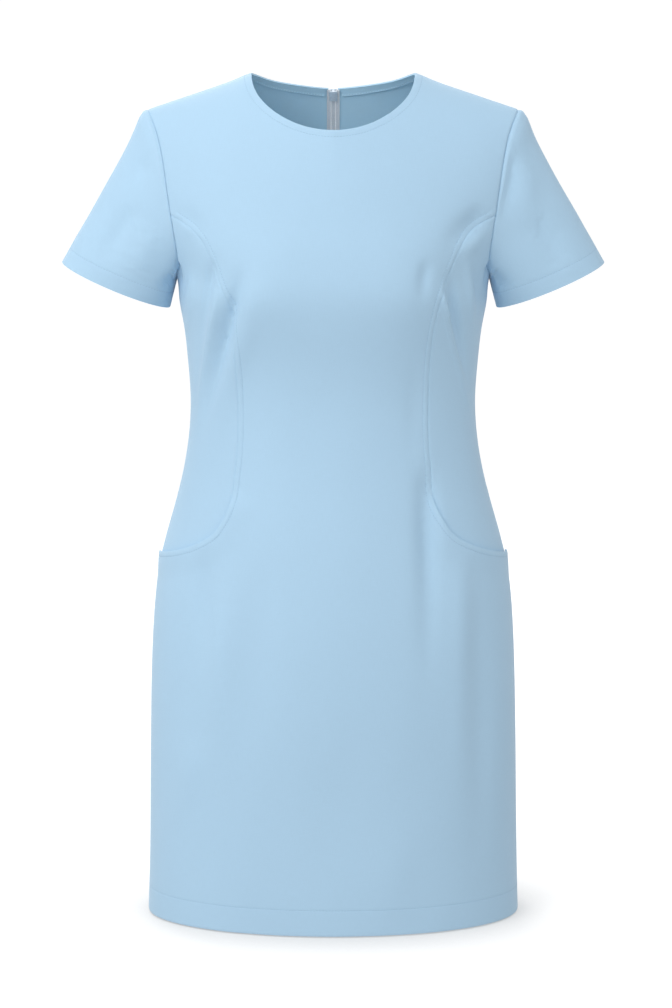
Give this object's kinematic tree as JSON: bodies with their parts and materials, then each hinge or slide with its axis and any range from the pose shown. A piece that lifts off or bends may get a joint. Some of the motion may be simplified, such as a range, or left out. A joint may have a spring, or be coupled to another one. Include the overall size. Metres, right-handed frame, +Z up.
{
  "type": "nurse uniform dress",
  "caption": "Short-sleeved, round-necked uniform dress in plain cloth with princess seams into curved hip pockets and a centre back zip, filled out with no wearer.",
  "frame": {"origin": "midway between the two points where the neck meets the shoulder seams, where the wearer's shoulders hold the dress", "axes": "+X to the right of someone looking at the front, +Y out of the back, +Z up"},
  "size_m": [0.5896, 0.2608, 0.9171],
  "materials": {
    "cloth": "light blue fine plain-weave cloth, matt with a slight sheen",
    "neck_band_cloth": "the same blue cloth, on the inside of the neck",
    "zip_tape": "grey woven zip tape",
    "zip_chain": "grey nylon zip coil",
    "zip_slider": "enamelled blue-grey zip slider and pull"
  },
  "bodies": {
    "dress": {"front_panel": "cloth", "side_front_left": "cloth", "side_front_right": "cloth", "back_left": "cloth", "back_right": "cloth", "sleeve_left": "cloth", "sleeve_right": "cloth", "neck_band": "neck_band_cloth", "zip_tape_left": "zip_tape", "zip_tape_right": "zip_tape", "zip_chain": "zip_chain", "zip_slider": "zip_slider"},
    "pull": {"zip_pull": "zip_slider"}
  },
  "joints": [
    {"name": "pull_swing", "type": "hinge", "parent": "dress", "child": "pull", "pos_m": [0, 0.06847, -0.01589], "axis": [1, 0, 0], "range_deg": [0, 150]}
  ]
}
